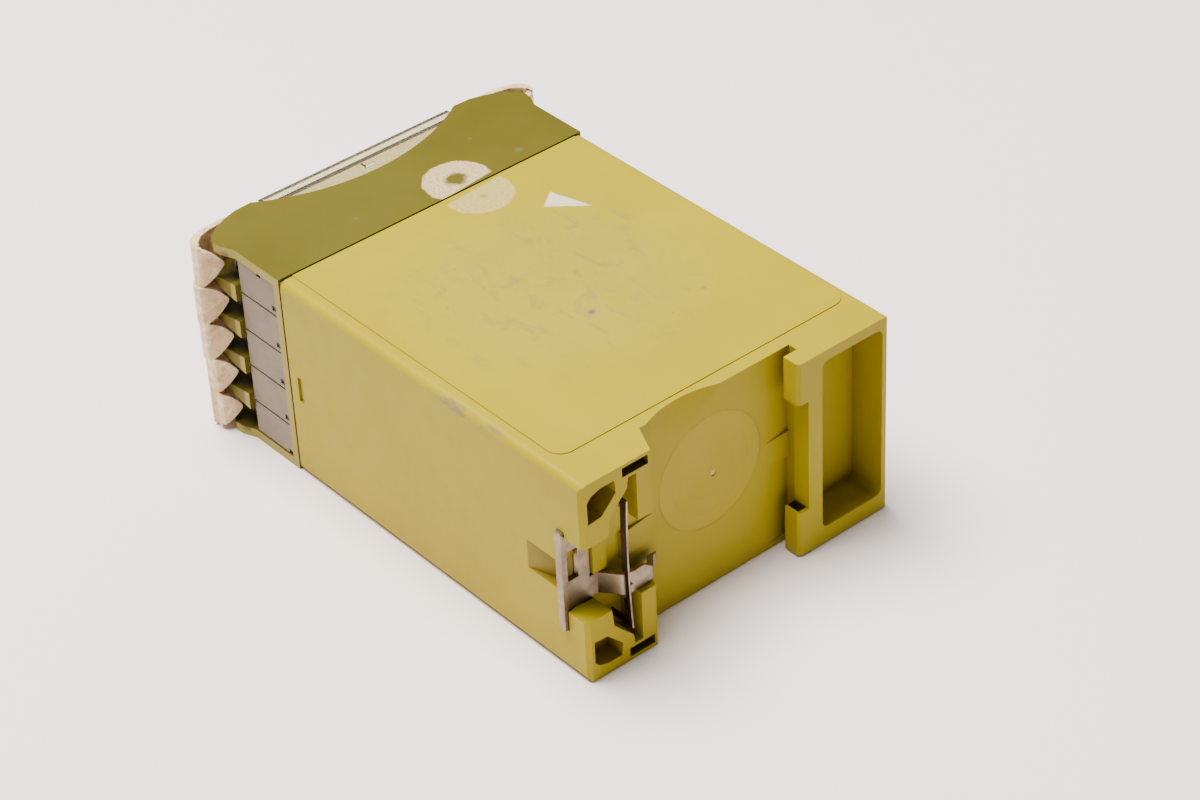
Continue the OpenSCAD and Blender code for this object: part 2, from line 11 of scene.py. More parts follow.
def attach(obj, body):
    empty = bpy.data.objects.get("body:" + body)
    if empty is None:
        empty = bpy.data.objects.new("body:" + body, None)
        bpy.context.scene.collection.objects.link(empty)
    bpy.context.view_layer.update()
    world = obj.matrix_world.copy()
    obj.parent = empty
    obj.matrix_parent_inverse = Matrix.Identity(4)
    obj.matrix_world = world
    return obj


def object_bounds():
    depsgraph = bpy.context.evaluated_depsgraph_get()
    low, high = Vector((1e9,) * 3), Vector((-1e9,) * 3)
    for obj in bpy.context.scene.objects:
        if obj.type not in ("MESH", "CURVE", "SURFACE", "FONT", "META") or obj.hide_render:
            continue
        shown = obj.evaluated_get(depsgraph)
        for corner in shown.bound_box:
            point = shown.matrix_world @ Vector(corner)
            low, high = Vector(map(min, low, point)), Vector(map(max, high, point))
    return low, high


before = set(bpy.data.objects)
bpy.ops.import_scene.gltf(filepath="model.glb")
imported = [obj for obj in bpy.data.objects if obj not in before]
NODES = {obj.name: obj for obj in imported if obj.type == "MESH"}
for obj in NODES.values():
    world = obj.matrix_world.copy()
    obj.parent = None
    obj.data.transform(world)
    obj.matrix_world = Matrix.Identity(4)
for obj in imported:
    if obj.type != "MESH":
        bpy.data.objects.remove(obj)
CAD_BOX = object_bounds()
MM = 0.001
rng = random.Random(7)

# from the CAD part, in millimetres: centres (x, y) of the transformer and the relay, spacing of terminals
TRANSFORMER_AT = (17, -34)
RELAY_AT = (-18, -38)
TERMINAL_PITCH = 8.6
# waves of the looks, in radians per millimetre: one screw turn and one core sheet every 0.5 mm
THREAD_WAVE = 12.566
SHEET_WAVE = 12.56
WIRE_WAVE = 22.0
# pads of a board, per millimetre: one every 2.54 mm
PAD_GRID = 0.3937


# ---------- node graph helper ----------

class Graph:
    """Builds a material's nodes; every call returns the new node's output socket."""

    def __init__(self, name):
        self.mat = bpy.data.materials.new(name)
        self.mat.use_nodes = True
        self.tree = self.mat.node_tree
        self.tree.nodes.clear()
        self.out = self.tree.nodes.new("ShaderNodeOutputMaterial")
        coord = self.tree.nodes.new("ShaderNodeTexCoord")
        # object coordinates in millimetres, the row frame of the CAD nodes
        self.pos = self.vec("MULTIPLY", coord.outputs["Object"], (1000, 1000, 1000))
        self._xyz = None

    def put(self, socket, value):
        """Links a socket, or sets its value."""
        if isinstance(value, bpy.types.NodeSocket):
            self.tree.links.new(value, socket)
        elif isinstance(value, (tuple, list)) and socket.type == "RGBA" and len(value) == 3:
            socket.default_value = (*value, 1.0)
        else:
            socket.default_value = value

    def vec(self, op, a, b=None):
        """Vector arithmetic."""
        n = self.tree.nodes.new("ShaderNodeVectorMath")
        n.operation = op
        self.put(n.inputs[0], a)
        if b is not None:
            self.put(n.inputs[1], b)
        return n.outputs["Value"] if op in ("LENGTH", "DISTANCE", "DOT_PRODUCT") else n.outputs[0]

    def math(self, op, a, b=None):
        """Arithmetic on single values."""
        n = self.tree.nodes.new("ShaderNodeMath")
        n.operation = op
        self.put(n.inputs[0], a)
        if b is not None:
            self.put(n.inputs[1], b)
        return n.outputs[0]

    def add(self, a, b):
        return self.math("ADD", a, b)

    def mul(self, a, b):
        return self.math("MULTIPLY", a, b)

    def xyz(self):
        """Position in millimetres, one socket for each axis."""
        if self._xyz is None:
            n = self.tree.nodes.new("ShaderNodeSeparateXYZ")
            self.put(n.inputs[0], self.pos)
            self._xyz = n.outputs
        return self._xyz

    def ramp(self, value, lo, hi, to_lo=0.0, to_hi=1.0):
        """Smooth step from lo to hi."""
        n = self.tree.nodes.new("ShaderNodeMapRange")
        n.interpolation_type = "SMOOTHSTEP"
        self.put(n.inputs["Value"], value)
        for key, v in (("From Min", lo), ("From Max", hi), ("To Min", to_lo), ("To Max", to_hi)):
            self.put(n.inputs[key], v)
        return n.outputs[0]

    def noise(self, scale, detail=4.0, rough=0.55, stretch=(1, 1, 1), shift=(0, 0, 0), distort=0.0):
        """Noise with `scale` features per millimetre."""
        n = self.tree.nodes.new("ShaderNodeTexNoise")
        at = self.vec("ADD", self.vec("MULTIPLY", self.pos, stretch), shift)
        self.put(n.inputs["Vector"], at)
        n.inputs["Scale"].default_value = scale
        n.inputs["Detail"].default_value = detail
        n.inputs["Roughness"].default_value = rough
        n.inputs["Distortion"].default_value = distort
        return n.outputs["Fac"]

    def cells(self, scale, shift=(0, 0, 0)):
        """Distance to the nearest of scattered points, `scale` of them per millimetre."""
        n = self.tree.nodes.new("ShaderNodeTexVoronoi")
        self.put(n.inputs["Vector"], self.vec("ADD", self.pos, shift))
        n.inputs["Scale"].default_value = scale
        return n.outputs["Distance"]

    def mix(self, fac, a, b):
        """Colour a where fac is 0, colour b where it is 1."""
        n = self.tree.nodes.new("ShaderNodeMix")
        n.data_type = "RGBA"
        self.put(n.inputs["Factor"], fac)
        self.put(n.inputs["A"], a)
        self.put(n.inputs["B"], b)
        return n.outputs["Result"]

    def blend_value(self, fac, a, b):
        """Value a where fac is 0, value b where it is 1."""
        n = self.tree.nodes.new("ShaderNodeMix")
        n.data_type = "FLOAT"
        self.put(n.inputs["Factor"], fac)
        self.put(n.inputs["A"], a)
        self.put(n.inputs["B"], b)
        return n.outputs["Result"]

    def bump(self, height, strength, depth_mm):
        """Surface normal from a height."""
        n = self.tree.nodes.new("ShaderNodeBump")
        self.put(n.inputs["Height"], height)
        n.inputs["Strength"].default_value = strength
        n.inputs["Distance"].default_value = depth_mm * MM
        return n.outputs[0]

    def crevice(self, reach_mm):
        """1 in the open, towards 0 in corners."""
        n = self.tree.nodes.new("ShaderNodeAmbientOcclusion")
        n.samples = 4
        n.only_local = True
        n.inputs["Distance"].default_value = reach_mm * MM
        return n.outputs["AO"]

    def facing(self):
        """Normal of the surface in the row frame."""
        n = self.tree.nodes.new("ShaderNodeNewGeometry")
        s = self.tree.nodes.new("ShaderNodeSeparateXYZ")
        self.put(s.inputs[0], n.outputs["True Normal"])
        return s.outputs

    def shader(self, **inputs):
        """Ends the graph with a Principled shader; an underscore in a key is a space."""
        n = self.tree.nodes.new("ShaderNodeBsdfPrincipled")
        for key, value in inputs.items():
            self.put(n.inputs[key.replace("_", " ")], value)
        self.tree.links.new(n.outputs[0], self.out.inputs["Surface"])
        return self.mat

    def block(self, x, y, z, edge=0.06):
        """1 inside a box given by its limits along each axis."""
        inside = 1.0
        for v, (lo, hi) in zip(self.xyz(), (x, y, z)):
            inside = self.mul(inside, self.ramp(v, lo - edge, lo + edge))
            inside = self.mul(inside, self.ramp(v, hi - edge, hi + edge, 1.0, 0.0))
        return inside

    def disc(self, x, y, radius, edge, wobble=0.0):
        """1 inside a disc in the X-Y plane, with a frayed edge."""
        px, py, _ = self.xyz()
        dx = self.add(px, -x)
        dy = self.add(py, -y)
        dist = self.math("SQRT", self.add(self.mul(dx, dx), self.mul(dy, dy)))
        if wobble:
            dist = self.add(dist, self.mul(self.add(self.noise(0.45, 5, 0.7), -0.5), wobble))
        return self.ramp(dist, radius - edge, radius + edge, 1.0, 0.0)


# ---------- materials ----------

def moulded(name, base, pale, dirt_and_shade, rough=0.42, corner_shade=0.5, marks=None):
    """Aged injection-moulded plastic: mottled colour, fine spark grain, scuffs, specks of dirt and painted
    shade in corners.
    """
    g = Graph(name)
    cloud = g.noise(0.035, 3, 0.5)
    patch = g.noise(0.22, 5, 0.62, shift=(31, 7, 3))
    colour = g.mix(g.ramp(cloud, 0.3, 0.7), base, pale)
    colour = g.mix(g.mul(g.ramp(patch, 0.5, 0.8), 0.12), colour, dirt_and_shade)
    # painted shade: darker in corners and creases, from an occlusion mask
    corner = g.ramp(g.crevice(3.0), 0.45, 0.95, 1.0, 0.0)
    colour = g.mix(g.mul(corner, corner_shade), colour, dirt_and_shade)
    scuff = g.noise(0.9, 3, 0.7, stretch=(0.12, 1.6, 1.0), shift=(4, 1, 9), distort=0.8)
    scuff_mask = g.mul(g.ramp(scuff, 0.66, 0.74), g.ramp(g.noise(0.06, 2), 0.5, 0.66))
    colour = g.mix(g.mul(scuff_mask, 0.22), colour, pale)
    specks = g.ramp(g.cells(0.42, (3, 5, 1)), 0.05, 0.075, 1.0, 0.0)
    specks = g.mul(specks, g.ramp(g.noise(0.13, 2, 0.5, shift=(9, 9, 0)), 0.52, 0.62))
    colour = g.mix(g.mul(specks, 0.45), colour, dirt_and_shade)
    roughness = g.blend_value(scuff_mask, g.ramp(patch, 0.3, 0.8, rough, rough + 0.12), rough + 0.2)
    height = g.add(g.mul(g.noise(5.5, 2, 0.6), 0.7), g.mul(g.cells(3.2), 0.3))
    height = g.add(height, g.mul(scuff_mask, -0.3))
    if marks:
        colour, roughness, height = marks(g, colour, roughness, height)
    return g.shader(Base_Color=colour, Roughness=roughness, Normal=g.bump(height, 0.22, 0.05),
                    Specular_IOR_Level=0.14)


def side_top(g):
    """1 on the side face that looks up (+Z)."""
    _, _, z = g.xyz()
    return g.mul(g.ramp(z, 22.2, 22.25), g.ramp(g.facing()[2], 0.7, 0.9))


def label_rest(g, x, y, radius, keep, hole, colour, roughness, height, strength):
    """What is left of a round paper label after peeling."""
    rest = g.disc(x, y, radius, 0.25, 1.1)
    fibre = g.noise(1.6, 5, 0.75, stretch=(1, 1.6, 1))
    rest = g.mul(rest, keep)
    rest = g.mul(rest, g.math("SUBTRACT", 1.0, hole))
    rest = g.mul(rest, g.ramp(fibre, 0.26, 0.42, 0.55, 1.0))
    rest = g.mul(rest, side_top(g))
    paper = g.mix(g.ramp(fibre, 0.35, 0.7), (0.44, 0.3, 0.13), (0.72, 0.6, 0.36))
    colour = g.mix(g.mul(rest, strength), colour, paper)
    roughness = g.blend_value(rest, roughness, 0.85)
    return colour, roughness, g.add(height, g.mul(rest, g.add(0.8, g.mul(fibre, 0.6))))


def yellow_marks(g, colour, roughness, height):
    """Smudges, scrapes and paper rests on the yellow housing, and the shade in its recesses."""
    x, y, z = g.xyz()
    top = side_top(g)
    # handling smudges on the middle of the side face
    area = g.disc(0, -44, 25, 12, 12)
    smear = g.noise(0.16, 6, 0.7, stretch=(1.5, 0.7, 1), shift=(12, 40, 0), distort=1.2)
    smudge = g.mul(g.mul(g.ramp(smear, 0.5, 0.68), area), top)
    colour = g.mix(g.mul(smudge, 0.5), colour, (0.2, 0.135, 0.045))
    colour = g.mix(g.mul(g.mul(area, top), 0.2), colour, (0.36, 0.24, 0.09))
    streak = g.noise(0.5, 5, 0.75, stretch=(1.8, 0.5, 1), shift=(2, 4, 0), distort=0.6)
    streak = g.mul(g.mul(g.ramp(streak, 0.62, 0.72), g.disc(-3, -38, 19, 6, 9)), top)
    colour = g.mix(g.mul(streak, 0.28), colour, (0.25, 0.18, 0.1))
    # small dark scrape with a chip of ink in it
    chip = g.mul(g.disc(1.5, -32.5, 0.95, 0.3, 1.8), top)
    colour = g.mix(g.mul(chip, 0.85), colour, (0.13, 0.09, 0.1))
    for cx, cy, r in ((-18.5, -24, 0.45), (11, -61, 0.35), (20, -52, 0.3), (-9, -22, 0.3)):
        spot = g.mul(g.disc(cx, cy, r, 0.15, 0.6), top)
        colour = g.mix(g.mul(spot, 0.5), colour, (0.2, 0.14, 0.05))
    # lower half of the round label, rubbed thin
    keep = g.ramp(g.add(y, g.mul(x, -0.06)), -79.6, -78.9)
    hole = g.disc(-8.8, -76.8, 0.7, 0.35, 1.0)
    colour, roughness, height = label_rest(g, -8.6, -78.4, 7.2, keep, hole,
                                           colour, roughness, height, 0.45)
    # three-cornered scrap of paper
    dx = g.add(x, 17.4)
    dy = g.add(y, 66.4)
    u = g.add(dx, g.mul(dy, 0.62))
    v = g.add(g.mul(dy, 0.75), g.mul(dx, -0.55))
    frayed = g.mul(g.add(g.noise(1.1, 4, 0.7), -0.5), 0.9)
    wedge = g.add(g.add(g.math("ABSOLUTE", u), g.mul(v, 0.36)), frayed)
    length = g.mul(g.ramp(v, -1.2, -0.8), g.ramp(v, 7.4, 7.9, 1.0, 0.0))
    scrap = g.mul(g.ramp(wedge, 2.5, 2.9, 1.0, 0.0), length)
    scrap = g.mul(scrap, top)
    colour = g.mix(g.mul(scrap, 0.8), colour, (0.7, 0.62, 0.46))
    roughness = g.blend_value(scrap, roughness, 0.8)
    height = g.add(height, g.mul(scrap, 1.2))
    # faint turned rings on the rail seat
    seat = g.mul(g.ramp(y, -2.2, -1.6), g.ramp(y, 0.3, 0.6, 1.0, 0.0))
    seat = g.mul(g.ramp(g.facing()[1], 0.7, 0.9), seat)
    dz = g.add(z, -4)
    dx = g.add(x, -2.2)
    ring = g.math("SQRT", g.add(g.mul(dx, dx), g.mul(dz, dz)))
    for r, amount in ((12.4, 0.5), (9.1, 0.22), (5.6, 0.18)):
        line = g.ramp(g.math("ABSOLUTE", g.add(ring, -r)), 0.08, 0.26, 1.0, 0.0)
        line = g.mul(line, g.ramp(g.noise(0.12, 3, 0.6, shift=(r, 0, 3)), 0.36, 0.6))
        colour = g.mix(g.mul(g.mul(line, seat), amount), colour, (0.2, 0.13, 0.015))
        height = g.add(height, g.mul(g.mul(line, seat), -0.5))
    colour = g.mix(g.mul(g.mul(g.ramp(ring, 11.8, 12.4, 1.0, 0.0), seat), 0.1), colour, (0.66, 0.52, 0.06))
    # slots, pockets and gaps in shade: box, amount, colour
    for spans, amount, shade in (
            (((34.2, 37.46), (-10.2, -0.6), (-4.6, 2.1)), 0.7, (0.15, 0.095, 0.008)),
            (((29.3, 36.1), (1.4, 5.9), (-20.1, -13.3)), 0.55, (0.22, 0.15, 0.01)),
            (((21.7, 27.9), (2, 5.9), (-21.7, -19.5)), 0.8, (0.06, 0.04, 0.01)),
            (((29.3, 36.1), (1.4, 5.9), (13.3, 20.1)), 0.55, (0.22, 0.15, 0.01)),
            (((21.7, 27.9), (2, 5.9), (19.5, 21.7)), 0.8, (0.06, 0.04, 0.01)),
            (((-17.2, -14.8), (2, 5.2), (-14.6, -11.9)), 0.8, (0.05, 0.035, 0.01)),
            (((-35.7, -20.2), (-2.2, 5.9), (-18.6, 20.1)), 0.15, (0.26, 0.175, 0.003))):
        colour = g.mix(g.mul(g.block(*spans), amount), colour, shade)
    dimple = g.block((0.5, 2.3), (-0.4, -0.05), (2.1, 3.9))
    colour = g.mix(g.mul(dimple, 0.6), colour, (0.75, 0.6, 0.2))
    # worn and dirty long edge at the latch end
    rub = g.mul(g.ramp(g.noise(0.5, 5, 0.7, stretch=(1, 0.35, 1)), 0.48, 0.62), g.ramp(x, 36.3, 36.9))
    rub = g.mul(rub, g.mul(g.ramp(y, -36, -31), g.ramp(y, -17, -13, 1.0, 0.0)))
    rub = g.mul(rub, g.ramp(z, 18.6, 20.2))
    colour = g.mix(g.mul(rub, 0.75), colour, (0.2, 0.15, 0.09))
    fine = g.mul(g.ramp(g.noise(0.35, 5, 0.75, stretch=(0.4, 1, 1), shift=(70, 0, 0)), 0.6, 0.74), 0.16)
    colour = g.mix(fine, colour, (0.3, 0.22, 0.1))
    return colour, roughness, height


def olive_marks(g, colour, roughness, height):
    """Painted light on the end faces, shaded gaps and the upper half of the paper label on the olive
    section.
    """
    x, y, _ = g.xyz()
    # painted light: faces that look along +X are painted paler
    end_face_light = g.ramp(g.facing()[0], 0.7, 0.9)
    colour = g.mix(g.mul(end_face_light, 0.75), colour, (0.36, 0.29, 0.06))
    # shade between the lobes of the finger guards
    for low, high in ((-38.7, -34.8), (34.8, 38.7)):
        shade = g.block((low, high), (-106.2, -97), (-21.4, 21.4), 0.3)
        colour = g.mix(g.mul(shade, 0.65), colour, (0.04, 0.034, 0.005))
    keep = g.ramp(g.add(y, g.mul(x, -0.1)), -81.4, -80.8, 1.0, 0.0)
    hole = g.disc(-8.7, -85.4, 2.2, 0.8, 3.2)
    colour, roughness, height = label_rest(g, -8.6, -84.6, 7.1, keep, hole,
                                           colour, roughness, height, 0.85)
    for cx, cy, r in ((-24.3, -84.9, 0.8), (14, -88, 0.3), (-20, -95, 0.35)):
        spot = g.mul(g.disc(cx, cy, r, 0.3, 0.9), side_top(g))
        colour = g.mix(g.mul(spot, 0.6), colour, (0.1, 0.12, 0.05))
    return colour, roughness, height


def grey_marks(g, colour, roughness, height):
    """Blotches, brown stains and faint joint lines between the terminals."""
    blotch = g.ramp(g.noise(0.28, 5, 0.7, stretch=(1, 0.6, 1), shift=(3, 17, 5)), 0.46, 0.66)
    colour = g.mix(g.mul(blotch, 0.5), colour, (0.19, 0.135, 0.14))
    stain = g.ramp(g.noise(0.75, 5, 0.75, shift=(41, 2, 8)), 0.6, 0.72)
    colour = g.mix(g.mul(stain, 0.5), colour, (0.12, 0.08, 0.055))
    _, _, z = g.xyz()
    lane = g.math("FRACT", g.mul(g.add(z, TERMINAL_PITCH / 2), 1 / TERMINAL_PITCH))
    joint = g.ramp(g.math("ABSOLUTE", g.add(lane, -0.5)), 0.478, 0.49)
    colour = g.mix(g.mul(joint, 0.35), colour, (0.1, 0.07, 0.05))
    return colour, roughness, g.add(height, g.mul(joint, -0.8))


def guard_plastic():
    """Yellowed translucent finger guard, with painted highlights and painted shade."""
    g = Graph("cream_guard")
    cloud = g.noise(0.12, 5, 0.6)
    colour = g.mix(g.ramp(cloud, 0.3, 0.72), (0.84, 0.62, 0.35), (0.68, 0.46, 0.25))
    # pale streaks are painted highlights, dark brown streaks are painted shade
    streak = g.noise(0.4, 5, 0.72, stretch=(1, 0.6, 1), shift=(14, 3, 6), distort=0.7)
    colour = g.mix(g.mul(g.ramp(streak, 0.52, 0.62), 0.6), colour, (0.95, 0.84, 0.6))
    colour = g.mix(g.mul(g.ramp(streak, 0.38, 0.47, 1.0, 0.0), 0.6), colour, (0.45, 0.3, 0.13))
    # painted shade in crevices, from an occlusion mask
    corner_shade = g.ramp(g.crevice(2.0), 0.35, 0.95, 1.0, 0.0)
    colour = g.mix(g.mul(corner_shade, 0.3), colour, (0.42, 0.32, 0.17))
    spots = g.ramp(g.noise(1.4, 5, 0.75), 0.66, 0.75)
    colour = g.mix(g.mul(spots, 0.3), colour, (0.38, 0.24, 0.16))
    height = g.add(g.noise(3.0, 3), g.mul(g.noise(0.5, 3), 0.6))
    return g.shader(Base_Color=colour, Roughness=g.ramp(cloud, 0.2, 0.8, 0.25, 0.45),
                    Subsurface_Weight=0.25, Subsurface_Radius=(1.0, 0.9, 0.7), Subsurface_Scale=0.0012,
                    Transmission_Weight=0.06, IOR=1.5, Normal=g.bump(height, 0.15, 0.05))


def clear_plastic(name, tint, dusty, dust_colour=(0.72, 0.68, 0.6)):
    """Clear moulding with fine scratches and dust."""
    g = Graph(name)
    scratch = g.noise(1.2, 3, 0.7, stretch=(0.06, 1, 1), distort=0.4)
    dust = g.ramp(g.noise(0.35, 6, 0.75), 0.45, 0.8)
    rough = g.add(g.mul(dust, 0.1), g.ramp(scratch, 0.66, 0.74, 0.02, 0.16))
    colour = g.mix(g.mul(dust, dusty), tint, dust_colour)
    return g.shader(Base_Color=colour, Roughness=rough, Transmission_Weight=0.98 - dusty * 0.25, IOR=1.49,
                    Normal=g.bump(scratch, 0.04, 0.01))


def metal(name, colour, stain, rough, stretch=(0.05, 1, 1), rust=0.0, scale=2.2, thread=False):
    """Plated or rolled metal with brushed lines, stains, specks and painted shade in crevices."""
    g = Graph(name)
    lines = g.noise(scale, 3, 0.65, stretch=stretch)
    cloud = g.noise(0.3, 5, 0.65)
    shade = g.mix(g.ramp(cloud, 0.32, 0.72), colour, stain)
    # painted shade in crevices, from an occlusion mask
    shade = g.mix(g.mul(g.ramp(g.crevice(1.5), 0.4, 0.95, 1.0, 0.0), 0.55), shade, (0.05, 0.04, 0.03))
    roughness = g.add(g.mul(lines, 0.18), g.ramp(cloud, 0.3, 0.8, rough, rough + 0.2))
    metallic = 1.0
    if rust:
        spot = g.ramp(g.noise(1.3, 6, 0.75, shift=(5, 5, 5)), 0.6, 0.7)
        shade = g.mix(g.mul(spot, rust), shade, (0.13, 0.05, 0.02))
        roughness = g.add(roughness, g.mul(spot, 0.3))
        metallic = g.math("SUBTRACT", 1.0, g.mul(spot, rust))
    if thread:
        # turns of the screw thread, below the head, with painted shade in the grooves between them
        _, y, _ = g.xyz()
        turns = g.mul(g.math("SINE", g.mul(y, THREAD_WAVE)), g.ramp(y, -101, -100.8))
        shade = g.mix(g.ramp(turns, -0.9, -0.2, 0.6, 0.0), shade, (0.08, 0.07, 0.06))
        lines = g.add(lines, g.mul(turns, 4.0))
    return g.shader(Base_Color=shade, Metallic=metallic, Roughness=roughness,
                    Normal=g.bump(g.add(lines, g.mul(cloud, 0.4)), 0.12, 0.03))


def spring_steel():
    """Blued strip with rust-brown flats and a bright painted highlight along its top edge."""
    g = Graph("spring_steel")
    _, y, _ = g.xyz()
    lines = g.noise(2.4, 3, 0.65, stretch=(1, 1, 0.05))
    cloud = g.noise(0.35, 5, 0.65)
    shade = g.mix(g.ramp(cloud, 0.35, 0.7), (0.09, 0.055, 0.035), (0.045, 0.03, 0.022))
    # painted highlight: the top edge is painted pale
    top_edge_highlight = g.ramp(y, 5.86, 5.895)
    rub = g.ramp(g.noise(0.5, 5, 0.75, stretch=(1, 1, 0.3)), 0.42, 0.6)
    shade = g.mix(top_edge_highlight, shade, g.mix(rub, (0.17, 0.12, 0.12), (0.4, 0.3, 0.2)))
    return g.shader(Base_Color=shade, Metallic=0.85, Roughness=g.ramp(cloud, 0.3, 0.8, 0.26, 0.42),
                    Normal=g.bump(lines, 0.12, 0.03))


def board_material():
    """Green laminate with tracks under the resist and tinned pads."""
    g = Graph("circuit_board")
    x, y, _ = g.xyz()
    weave = g.add(g.math("SINE", g.mul(x, 9.0)), g.math("SINE", g.mul(y, 9.0)))
    lane = g.math("FRACT", g.mul(g.add(x, g.mul(g.ramp(g.noise(0.05, 1), 0.45, 0.55), 4.0)), 0.3))
    track = g.ramp(g.math("ABSOLUTE", g.add(lane, -0.5)), 0.1, 0.14, 1.0, 0.0)
    lane2 = g.math("FRACT", g.mul(y, 0.24))
    track2 = g.ramp(g.math("ABSOLUTE", g.add(lane2, -0.5)), 0.08, 0.11, 1.0, 0.0)
    pick = g.ramp(g.noise(0.09, 1, 0.3), 0.49, 0.51)
    track = g.blend_value(pick, track, track2)
    colour = g.mix(track, (0.012, 0.075, 0.03), (0.03, 0.15, 0.05))
    px = g.add(g.math("FRACT", g.mul(x, PAD_GRID)), -0.5)
    py = g.add(g.math("FRACT", g.mul(y, PAD_GRID)), -0.5)
    pad = g.math("SQRT", g.add(g.mul(px, px), g.mul(py, py)))
    fitted = g.ramp(g.noise(0.16, 1, 0.3, shift=(8, 2, 1)), 0.56, 0.58)
    pad = g.mul(g.ramp(pad, 0.27, 0.3, 1.0, 0.0), fitted)
    colour = g.mix(pad, colour, (0.6, 0.58, 0.54))
    dust = g.ramp(g.noise(0.4, 5, 0.7), 0.5, 0.8)
    colour = g.mix(g.mul(dust, 0.12), colour, (0.4, 0.37, 0.3))
    height = g.add(g.add(track, g.mul(weave, 0.06)), g.mul(pad, 1.2))
    return g.shader(Base_Color=colour, Metallic=g.mul(pad, 0.8), Roughness=g.ramp(dust, 0, 1, 0.26, 0.5),
                    Normal=g.bump(height, 0.35, 0.06))


def winding_material(name, wire, taped):
    """Close-laid enamelled wire, where taped with the transformer's band of tape."""
    g = Graph(name)
    x, y, _ = g.xyz()
    turn = g.math("SINE", g.mul(y if taped else x, WIRE_WAVE))
    cloud = g.noise(0.4, 4, 0.6)
    # painted shade: darker in the grooves between turns
    colour = g.mix(g.ramp(turn, -1, 1), (wire[0] * 0.35, wire[1] * 0.3, wire[2] * 0.3), wire)
    rough = g.ramp(turn, -1, 1, 0.5, 0.25)
    metallic = 0.6
    if taped:
        tape = g.ramp(g.math("ABSOLUTE", g.add(y, -TRANSFORMER_AT[1])), 8.4, 8.7, 1.0, 0.0)
        fold = g.noise(0.8, 3, 0.6, stretch=(0.3, 1, 0.3))
        colour = g.mix(tape, colour, g.mix(fold, (0.55, 0.42, 0.1), (0.42, 0.3, 0.06)))
        metallic = g.ramp(tape, 0, 1, 0.6, 0.0)
        rough = g.blend_value(tape, rough, 0.35)
    return g.shader(Base_Color=colour, Metallic=metallic, Roughness=rough,
                    Normal=g.bump(g.add(turn, g.mul(cloud, 0.5)), 0.4, 0.08))


def laminated_steel():
    """Edges of stacked core sheets, with a little rust."""
    g = Graph("laminated_core")
    _, _, z = g.xyz()
    sheet = g.math("SINE", g.mul(z, SHEET_WAVE))
    cloud = g.noise(0.3, 5, 0.6)
    colour = g.mix(g.ramp(sheet, -1, 0.2), (0.02, 0.018, 0.016), (0.16, 0.14, 0.13))
    colour = g.mix(g.ramp(cloud, 0.55, 0.75), colour, (0.2, 0.1, 0.05))
    return g.shader(Base_Color=colour, Metallic=0.7, Roughness=g.ramp(cloud, 0.3, 0.8, 0.4, 0.65),
                    Normal=g.bump(g.add(sheet, g.mul(cloud, 0.5)), 0.5, 0.08))


def banded(name, body, bands, axis, half, rough=0.35):
    """Small component body with painted rings, `half` to each side of their place along the axis."""
    g = Graph(name)
    along = g.xyz()[axis]
    cloud = g.noise(0.8, 4, 0.6)
    colour = g.mix(g.ramp(cloud, 0.3, 0.8), body, tuple(c * 0.7 for c in body))
    for offset, ring in bands:
        at = g.math("ABSOLUTE", g.add(along, -offset))
        colour = g.mix(g.ramp(at, half * 0.9, half, 1.0, 0.0), colour, ring)
    return g.shader(Base_Color=colour, Roughness=g.ramp(cloud, 0.2, 0.8, rough, rough + 0.15),
                    Normal=g.bump(g.noise(2.5, 3), 0.12, 0.04))


def glossy(name, base, pale, rough=0.25, **more):
    """Smooth painted or moulded surface under a little dust."""
    g = Graph(name)
    cloud = g.noise(0.5, 4, 0.6)
    colour = g.mix(g.ramp(cloud, 0.35, 0.75), base, pale)
    dust = g.ramp(g.noise(0.7, 6, 0.75, shift=(2, 2, 8)), 0.55, 0.8)
    colour = g.mix(g.mul(dust, 0.2), colour, (0.42, 0.39, 0.33))
    return g.shader(Base_Color=colour, Roughness=g.add(g.mul(dust, 0.3), rough),
                    Normal=g.bump(g.noise(2.8, 3), 0.12, 0.04), **more)


